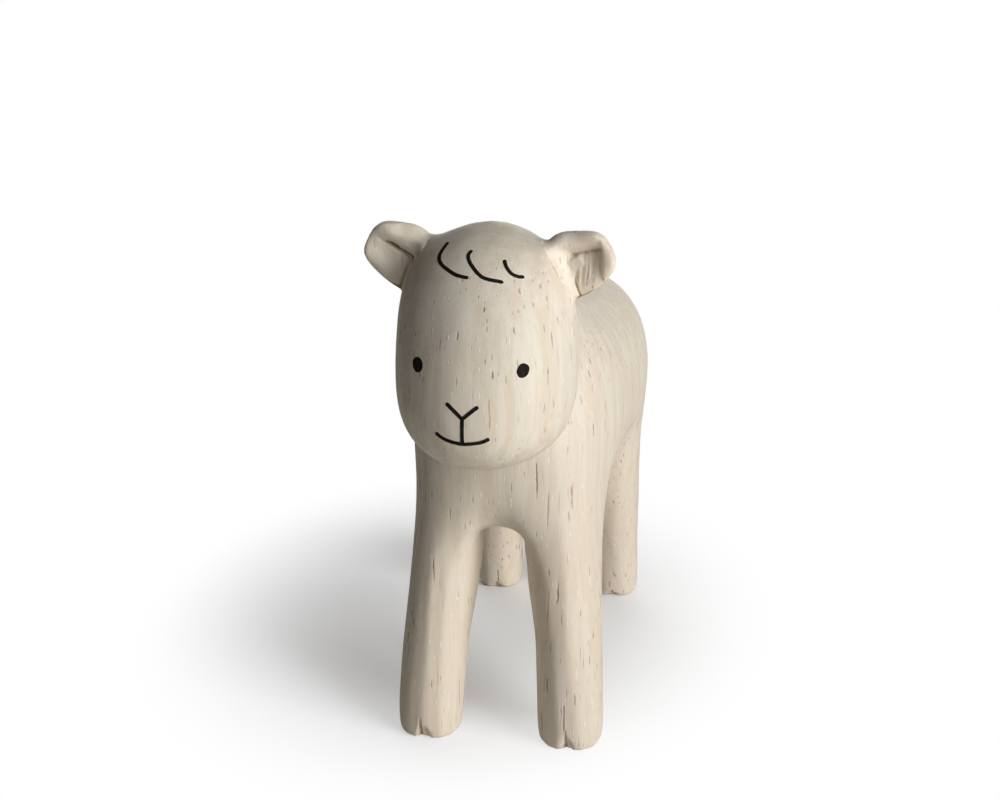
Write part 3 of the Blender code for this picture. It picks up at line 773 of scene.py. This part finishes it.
def carve_ear(skin, side, cut):
    """Opens the sawn end, moves the front face back by the cut, but never so deep that the pin inside
    shows, and closes the end again with a flat face."""
    place, across = ear_cuts[side]
    sawn = [f for f in skin.faces if all(abs((v.co - place).dot(across)) < 1e-7 for v in f.verts)]
    bmesh.ops.delete(skin, geom=sawn, context='FACES')
    for turn in range(2):
        bmesh.ops.subdivide_edges(skin, edges=skin.edges, cuts=1, use_grid_fill=True, smooth=0.0)
        sand(skin, [fade(abs((v.co - place).dot(across)) / MM, 0.05, 0.5) for v in skin.verts], 3)
    gouged = skin.verts.layers.float.new("gouged")
    front = toward_front(1.0).normalized()
    for vert in skin.verts:
        out, up, ahead = in_ear(vert.co, side)
        facing = fade(vert.normal.dot(front), 0.1, 0.5)
        if facing and out > -0.6:
            depth = cut(out, up) * facing
            # The depth past the cupping, which the wood's finish turns into painted shade.
            vert[gouged] = max(0.0, depth - cupped(out, up))
            over_pin = fade(abs(up), 1.2, 0.7) * fade(out, 3.8, 3.2)
            room = ahead - PIN_BACK_WALL
            if depth > room:
                depth = depth + (max(room, 0.0) - depth) * over_pin
            vert.co -= toward_front(depth)
    close_end(skin, place, across)
    print("ear faces:", len(skin.faces), "open edges:", sum(e.is_boundary for e in skin.edges))


def close_end(skin, place, across):
    """Brings the open rim back onto the saw's plane and fills it."""
    rim = [e for e in skin.edges if e.is_boundary]
    for vert in {v for e in rim for v in e.verts}:
        vert.co -= across * (vert.co - place).dot(across)
    lids = bmesh.ops.edgeloop_fill(skin, edges=rim)["faces"]
    bmesh.ops.triangulate(skin, faces=lids)
    bmesh.ops.recalc_face_normals(skin, faces=skin.faces)


carve_ear(ear_skins[1], 1, left_ear_cut)
carve_ear(ear_skins[-1], -1, right_ear_cut)

# %% [markdown]
# ## Pin holes and hoof clefts
#
# The holes for the pins are bored and each hoof gets its cleft by Boolean modifiers, which keep the edges
# of a cut sharp. A cutter for a hole is the packed pin, grown a little, so the pin never touches its wall.
# A cutter for a cleft is a cone with four sides: its lower part cuts the hoof, and its point ends the cut.

# %% Make the cutters
PIN_GROWTH = 0.14
FRONT_FEET = ((11.3, -21.788), (-12.1, -21.788))
HIND_FEET = ((11.146, 39.212), (-11.254, 39.212))
FRONT_RADIUS, HIND_RADIUS = 5.6, 4.6
FRONT_CLEFT, HIND_CLEFT = (2.7, 2.6, 3.9), (2.3, 1.75, 2.7)
CLEFT_INSET = 0.6


def cleft(toe_x, toe_y, width, deep, tall):
    """A wedge with its point up, for the front of one hoof; all in millimetres."""
    wedge = bmesh.new()
    bmesh.ops.create_cone(wedge, cap_ends=True, segments=4, radius1=1.0, radius2=0.02, depth=1.0)
    bmesh.ops.translate(wedge, verts=wedge.verts, vec=(0, 0, 0.5))
    bmesh.ops.scale(wedge, verts=wedge.verts, vec=Vector((width / 2, deep, tall + 1.0)) * MM)
    bmesh.ops.translate(wedge, verts=wedge.verts, vec=Vector((toe_x, toe_y, -1.0)) * MM)
    return wedge


def joined(*skins):
    """Several cutters as one bmesh."""
    whole = bmesh.new()
    for part in skins:
        mesh = bpy.data.meshes.new("cutter")
        part.to_mesh(mesh)
        part.free()
        whole.from_mesh(mesh)
        bpy.data.meshes.remove(mesh)
    return whole


def grown(*names):
    """The pins of those names with each corner moved out, so a bored hole clears its pin all round."""
    pins = merged(*names)
    pins.normal_update()
    steps = [(v, v.normal.copy()) for v in pins.verts]
    for vert, step in steps:
        vert.co += step * PIN_GROWTH * MM
    return pins


clefts = [cleft(x, y - FRONT_RADIUS + CLEFT_INSET, *FRONT_CLEFT) for x, y in FRONT_FEET]
clefts += [cleft(x, y - HIND_RADIUS + CLEFT_INSET, *HIND_CLEFT) for x, y in HIND_FEET]
print("clefts:", len(clefts))

# %% Bore the holes and cut the clefts
def cut_away(piece, cutter):
    """Takes the cutter's shape out of the piece for good."""
    tool = make_piece(cutter, "tool")
    knife = piece.modifiers.new("cut", 'BOOLEAN')
    knife.object = tool
    knife.operation = 'DIFFERENCE'
    knife.solver = 'EXACT'
    name = piece.name
    shape = worked_out(piece)
    bpy.data.objects.remove(tool)
    return make_piece(shape, name)


trunk = cut_away(make_piece(trunk_skin, "carved_body_and_legs"),
                 joined(grown("neck_dowel", "tail_pin"), *clefts))
head = cut_away(make_piece(head_skin, "carved_head"), grown("neck_dowel", "left_ear_pin", "right_ear_pin"))
left_ear = cut_away(make_piece(ear_skins[1], "carved_left_ear"), grown("left_ear_pin"))
right_ear = cut_away(make_piece(ear_skins[-1], "carved_right_ear"), grown("right_ear_pin"))
print("corners of the head:", len(head.data.vertices))

# %% [markdown]
# ## The tail, the shading and the wood
#
# The photograph doesn't show the tail, so it stays the short drop that the packed model has, sanded like
# the rest. Smooth shading would smear light round the sawn edges, so edges that turn by more than some
# degrees are marked sharp. Then each piece gets its wood: the head and the block share one board, and the
# ears and the pins come from others. Last, each piece is attached to the root, and the packed node that it
# stands for is hidden.

# %% Sand the tail and shade the pieces
TAIL_SQUARE = 0.25 * MM
TAIL_ROUNDS = 6
WOOD_EDGE = 38


def sharpen(piece, degrees):
    """Smooth shading, but for edges that turn by more than those degrees."""
    piece.data.shade_smooth()
    piece.data.set_sharp_from_angle(angle=math.radians(degrees))


tail_skin = reskin(merged("tail"), TAIL_SQUARE, 0.0)
sand(tail_skin, [1.0] * len(tail_skin.verts), TAIL_ROUNDS)
tail = make_piece(tail_skin, "carved_tail")
for piece in (trunk, head, left_ear, right_ear, tail):
    sharpen(piece, WOOD_EDGE)
    print(piece.name, "triangles:", sum(len(p.vertices) - 2 for p in piece.data.polygons))

# %% Put the wood on and attach the pieces
for piece, node, finish in ((trunk, "body", block_wood), (head, "head", block_wood),
                            (left_ear, "left_ear", ear_wood), (right_ear, "right_ear", ear_wood),
                            (tail, "tail", offcut_wood)):
    piece.data.materials.clear()
    piece.data.materials.append(finish)
    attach(piece, "root")
    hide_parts(node)
    print(piece.name, "stands for", node, "in", finish.name)
for name in ("neck_dowel", "left_ear_pin", "right_ear_pin", "tail_pin"):
    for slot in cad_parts[name].material_slots:
        slot.material = offcut_wood

# %% [markdown]
# ## Black paint
#
# The eyes, the nose and mouth and the three strokes of the forelock are dull black paint, put on with a
# fine brush. Bare wood drinks some of it, so the paint is a little browner and duller where it lies thin,
# and the grain below still shows in its surface.

# %% Mix the paint
THICK_BLACK, THIN_BLACK = (0.008, 0.006, 0.0045, 1.0), (0.030, 0.022, 0.015, 1.0)


def paint_finish(name):
    """Dull black paint, a little thinner where the wood drank it."""
    paint = Finish(name)
    metres = paint.node("ShaderNodeTexCoord", {}, {}, "Object")
    place = paint.vector('MULTIPLY', metres, (1000.0, 1000.0, 1000.0))
    thin = paint.noise(place, (3.0, 3.0, 1.2), 3.0, 0.6)
    grain_below = paint.noise(place, (7.0, 7.0, 1.5), 2.0)
    colour = paint.mix(thin.ease(0.45, 0.75) * 0.8, THICK_BLACK, THIN_BLACK)
    bump = paint.node("ShaderNodeBump", {}, {"Height": grain_below + thin * 0.5, "Strength": 0.3,
                                             "Distance": 0.08 * MM})
    paint.feed(paint.shader, {"Base Color": colour, "Roughness": 0.62 + thin * 0.3, "Normal": bump,
                              "Specular IOR Level": 0.15})
    return paint.material


black_paint = paint_finish("black_paint")
print("paint nodes:", len(black_paint.node_tree.nodes))

# %% [markdown]
# ## Laying a film of paint
#
# Each mark is drawn flat first, on a drawing plane in front of the face or of the forehead, and is then
# laid on the wood by shooting every corner straight at the carved head. It could be painted on as a
# picture, but a film has a real edge that catches the light. A real one is a few hundredths of a millimetre
# thick, so Solidify gives it that and no more.

# %% Lay a film of paint on the head
FACE_PLANE = ((0.0, -14.6, HEAD_BASE), math.pi / 2)
FORELOCK_PLANE = ((0.0, -8.0, HEAD_TOP - 5.3), math.pi / 4)
FILM_THICKNESS = 0.045
FILM_SINK = 0.012
PAINT_EDGE = 50

head_shape = bmesh.new()
head_shape.from_mesh(head.data)
head_hits = BVHTree.FromBMesh(head_shape)
head_shape.free()


def on_plane(plane, across, up):
    """A point of a drawing plane in front of the head, and the direction of the shot."""
    (x, y, z), lean = plane
    spot = Vector((x + across, y + up * math.cos(lean), z + up * math.sin(lean)))
    away = Vector((0.0, -math.sin(lean), math.cos(lean)))
    return from_head(spot + away * 4.0), -(HEAD_TURN @ away)


def lay(film, plane):
    """Shoots each corner of a flat film at the head and leaves it just under the wood's surface."""
    for vert in film.verts:
        hit, normal, face, far = head_hits.ray_cast(*on_plane(plane, vert.co.x, vert.co.y))
        vert.co = hit - normal * FILM_SINK * MM
    film.normal_update()
    shot = on_plane(plane, 0.0, 0.0)[1]
    bmesh.ops.reverse_faces(film, faces=[f for f in film.faces if f.normal.dot(shot) > 0])


def dried(film, plane, name, *nodes):
    """Lays the film on the head, gives it its thickness and its paint, attaches it to the root and hides the
    packed nodes.
    """
    lay(film, plane)
    piece = make_piece(film, name)
    body = piece.modifiers.new("body", 'SOLIDIFY')
    body.thickness = FILM_THICKNESS * MM
    body.offset = 1.0
    sharpen(piece, PAINT_EDGE)
    piece.data.materials.append(black_paint)
    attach(piece, "root")
    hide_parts(*nodes)
    print(name, "corners:", len(piece.data.vertices))


middle = head_hits.ray_cast(*on_plane(FACE_PLANE, 0.0, 10.0))[0]
print("a shot at the middle of the face hits", tuple(round(c, 4) for c in middle))

# %% [markdown]
# ## The eyes
#
# Each eye is one dab of the brush, a little taller than wide and not quite round. A square grid pressed
# into a round has even corners all over, where a disc of triangles would crowd them in its middle. The two
# eyes differ a little in size, as they do on the figurine.

# %% Paint the eyes
EYE_HEIGHT = 17.2
EYES = (("left_eye", 7.8, 0.76, 0.98, 2.0),
        ("right_eye", -7.1, 0.86, 1.07, 7.0))


def dab(film, across, up, half_wide, half_tall, seed):
    """Adds one painted eye: a square grid pressed into an uneven round."""
    made = bmesh.ops.create_grid(film, x_segments=22, y_segments=22, size=1.0)["verts"]
    for vert in made:
        x, y = vert.co.x, vert.co.y
        flat = x * math.sqrt(1.0 - y * y / 2), y * math.sqrt(1.0 - x * x / 2)
        turn = math.atan2(flat[1], flat[0])
        uneven = 1.0 + 0.05 * noise.noise(Vector((1.4 * math.cos(turn), 1.4 * math.sin(turn), seed)))
        vert.co = (across + flat[0] * half_wide * uneven, up + flat[1] * half_tall * uneven, 0.0)


for name, across, half_wide, half_tall, seed in EYES:
    film = bmesh.new()
    dab(film, across, EYE_HEIGHT, half_wide, half_tall, seed)
    dried(film, FACE_PLANE, "painted_" + name, name)

# %% [markdown]
# ## Brush strokes
#
# A bevelled curve would lie on the wood like a wire, so a stroke is a narrow flat grid, bent along a smooth
# curve through a few chosen points. Its ends are round, and its width swells and thins a little, as the
# brush was pressed more or less.

# %% Draw one stroke
def curve_through(points, share):
    """A point on the smooth curve through the points, share running from 0 to 1."""
    spots = [Vector(points[0])] + [Vector(p) for p in points] + [Vector(points[-1])]
    spots[0] = spots[1] * 2 - spots[2]
    spots[-1] = spots[-2] * 2 - spots[-3]
    place = share * (len(points) - 1)
    step = min(int(place), len(points) - 2)
    t = place - step
    a, b, c, d = spots[step:step + 4]
    bend, twist = a * 2 - b * 5 + c * 4 - d, b * 3 - a - c * 3 + d
    return 0.5 * ((b * 2) + (c - a) * t + bend * t * t + twist * t ** 3)


def stroke(film, points, width, seed):
    """Adds one brush stroke along the points: a grid, bent to the curve, with round ends."""
    made = bmesh.ops.create_grid(film, x_segments=60, y_segments=6, size=1.0)["verts"]
    length = sum((Vector(b) - Vector(a)).length for a, b in zip(points, points[1:]))
    cap = 0.5 * width / length
    for vert in made:
        along, aside = vert.co.x, vert.co.y
        share = 0.5 + 0.5 * math.copysign(abs(along) ** 0.8, along)
        end = max(0.0, 1.0 - min(share, 1.0 - share) / cap)
        half = 0.5 * width * math.sqrt(1.0 - 0.93 * end * end)
        half *= 1.0 + 0.10 * noise.noise(Vector((share * length * 0.9, seed, 0.0))) \
            + 0.05 * noise.noise(Vector((share * length * 4.0, seed + aside, 5.0)))
        here = curve_through(points, share)
        ahead = curve_through(points, min(1.0, share + 0.01)) - curve_through(points, max(0.0, share - 0.01))
        ahead.normalize()
        vert.co = (here.x - ahead.y * aside * half, here.y + ahead.x * aside * half, 0.0)


print("halfway along a straight stroke:", tuple(curve_through(((0.0, 0.0), (1.0, 0.0)), 0.5)))

# %% [markdown]
# ## The nose, the mouth and the forelock
#
# The nose is a Y whose stem stands on the smile, and all four strokes make one mark. The forelock is three
# separate curved strokes where the forehead leans back, so they are drawn on a plane that leans with it.

# %% Paint the nose and mouth
NOSE_HEIGHT = 10.7
FACE_LINE = 0.56
FACE_STROKES = (
    ((-4.0, -2.5), (-3.2, -3.0), (-2.2, -3.4), (-0.1, -3.75), (2.0, -3.5), (3.0, -3.2), (3.7, -2.8)),
    ((0.05, 0.1), (0.0, -1.9), (-0.05, -3.7)),
    ((0.15, -0.1), (-0.75, 0.75), (-1.55, 1.45), (-2.3, 2.1)),
    ((-0.05, -0.1), (0.8, 0.65), (1.55, 1.3), (2.25, 1.85)),
)
film = bmesh.new()
for seed, points in enumerate(FACE_STROKES):
    stroke(film, [(x, NOSE_HEIGHT + y) for x, y in points], FACE_LINE, 3.0 * seed)
dried(film, FACE_PLANE, "painted_nose_and_mouth", "nose_and_mouth")

# %% Paint the forelock
FORELOCK_LINE = 0.52
FORELOCK = {
    "forelock_stroke_right": ((-4.8, 5.4), (-5.45, 2.75), (-4.7, 1.05), (-2.4, -0.7), (-0.4, -1.25)),
    "forelock_stroke_middle": ((-0.75, 3.4), (-1.05, 2.3), (-0.15, 0.6), (1.7, -1.0), (4.45, -1.2)),
    "forelock_stroke_left": ((4.0, 2.35), (4.45, 1.25), (5.25, 0.4), (6.2, 0.2), (6.95, 0.45)),
}
for seed, (name, points) in enumerate(FORELOCK.items()):
    film = bmesh.new()
    stroke(film, points, FORELOCK_LINE, 20.0 + 3.0 * seed)
    dried(film, FORELOCK_PLANE, "painted_" + name, name)

# %% [markdown]
# ## The floor
#
# The figurine stands in front of white, and its shadow runs over the floor and fades into that white. The
# floor sends a little warm light back up at the belly and the legs. Only the camera sees it as white paper:
# it gets a glow that is less where legs stand close, which paints shade between them, and further out than
# the shadow reaches it is plain white.

# %% Make the floor
FADE_MIDDLE = (-0.016, 0.027, 0.0)
FADE_REACH = (0.053, 0.069)
FADE_STEP = (0.32, 1.15)
SHADE_REACH = 0.12
WHITE = (1.0, 1.0, 1.0, 1.0)
WARM_FLOOR = (0.86, 0.84, 0.81, 1.0)
PAPER = (0.975, 0.985, 1.0, 1.0)
PAPER_GLOW = 0.44
FLOOR_SIZE = 4.0

ground = Finish("paper_floor")
ground.tree.nodes.remove(ground.shader)
place = ground.node("ShaderNodeTexCoord", {}, {}, "Object")
spot = ground.vector('MULTIPLY', ground.vector('SUBTRACT', place, FADE_MIDDLE),
                     (1 / FADE_REACH[0], 1 / FADE_REACH[1], 1.0))
away = ground.node("ShaderNodeVectorMath", {"operation": 'LENGTH'}, {0: spot}, "Value")
plain = ground.node("ShaderNodeBsdfDiffuse", {}, {"Color": WARM_FLOOR})
paper = ground.node("ShaderNodeBsdfDiffuse", {}, {"Color": PAPER})
# Painted shade: the glow drops where the legs and the body close the floor in.
openness = ground.node("ShaderNodeAmbientOcclusion", {"samples": 8}, {"Distance": SHADE_REACH}, "AO")
shaded_glow = openness * openness * openness * PAPER_GLOW
lit = ground.node("ShaderNodeEmission", {}, {"Color": WHITE, "Strength": shaded_glow})
near_floor = ground.node("ShaderNodeAddShader", {}, {0: paper, 1: lit})
white = ground.node("ShaderNodeEmission", {}, {"Color": WHITE, "Strength": 1.0})
shown = ground.node("ShaderNodeMixShader", {}, {0: away.ease(*FADE_STEP), 1: near_floor, 2: white})
seen = ground.node("ShaderNodeLightPath", {}, {}, "Is Camera Ray")
result = ground.node("ShaderNodeMixShader", {}, {0: seen, 1: plain, 2: shown})
ground.feed(ground.tree.nodes["Material Output"], {"Surface": result})

sheet = bmesh.new()
bmesh.ops.create_grid(sheet, x_segments=1, y_segments=1, size=FLOOR_SIZE)
floor = make_piece(sheet, "floor")
floor.data.materials.append(ground.material)
floor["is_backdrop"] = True
print("floor nodes:", len(ground.tree.nodes))

# %% [markdown]
# ## Lamps and sky
#
# A soft window stands low to the picture's right, so the far side of the face falls dark and the shadow
# runs to the left along the floor. A weak reflector beside the camera opens the shade, and one behind the
# figurine lights its back for whoever walks round it. The sky is white to the camera, and almost dark to
# the wood. A lamp further away needs more power for the same light, so its power is worked out from a
# level: a lamp of level 1 shows a surface that faces it in its own colour.

# %% Hang the lamps
def soft_lamp(name, place, aim, wide, tall, level):
    """A lamp as large as a window or a reflector, turned from its place to the aim."""
    data = bpy.data.lights.new(name, 'AREA')
    data.shape = 'RECTANGLE'
    data.size = wide
    data.size_y = tall
    lamp = bpy.data.objects.new(name, data)
    lamp.location = place
    away = Vector(place) - Vector(aim)
    lamp.rotation_euler = away.to_track_quat('Z', 'Y').to_euler()
    data.energy = level * math.pi ** 2 * away.length_squared
    bpy.context.scene.collection.objects.link(lamp)
    print(name, "watts:", round(data.energy, 3))


soft_lamp("window", (0.6062, -0.35, 0.35), (0.0, 0.0, 0.35), 0.45, 0.66, 1.25)
soft_lamp("reflector", (0.422, -0.905, 0.092), (0.0, 0.0, 0.04), 0.8, 0.8, 0.05)
soft_lamp("rear_reflector", (-0.20, 0.88, 0.24), (0.0, 0.0, 0.05), 0.8, 0.4, 0.48)

# %% Light the sky
SKY_ON_WOOD = 0.03

world = bpy.data.worlds.new("studio")
world.use_nodes = True
bpy.context.scene.world = world
sky = NodeTree(world.node_tree)
seen = sky.node("ShaderNodeLightPath", {}, {}, "Is Camera Ray")
strength = sky.node("ShaderNodeMapRange", {}, {"Value": seen, "To Min": SKY_ON_WOOD, "To Max": 1.0})
sky.feed(sky.tree.nodes["Background"], {"Color": WHITE, "Strength": strength})
print("sky nodes:", len(sky.tree.nodes))

# %% [markdown]
# ## Sizes and the end
#
# Both boxes, the packed model's and the dressed figurine's, are printed. The dressed figurine may not be
# larger than the packed model.

# %% Write the sizes and finish
visual_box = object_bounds()
for label, box in (("packed", cad_box), ("dressed", visual_box)):
    print(label, "size, mm:", [round(c / MM, 2) for c in box[1] - box[0]])
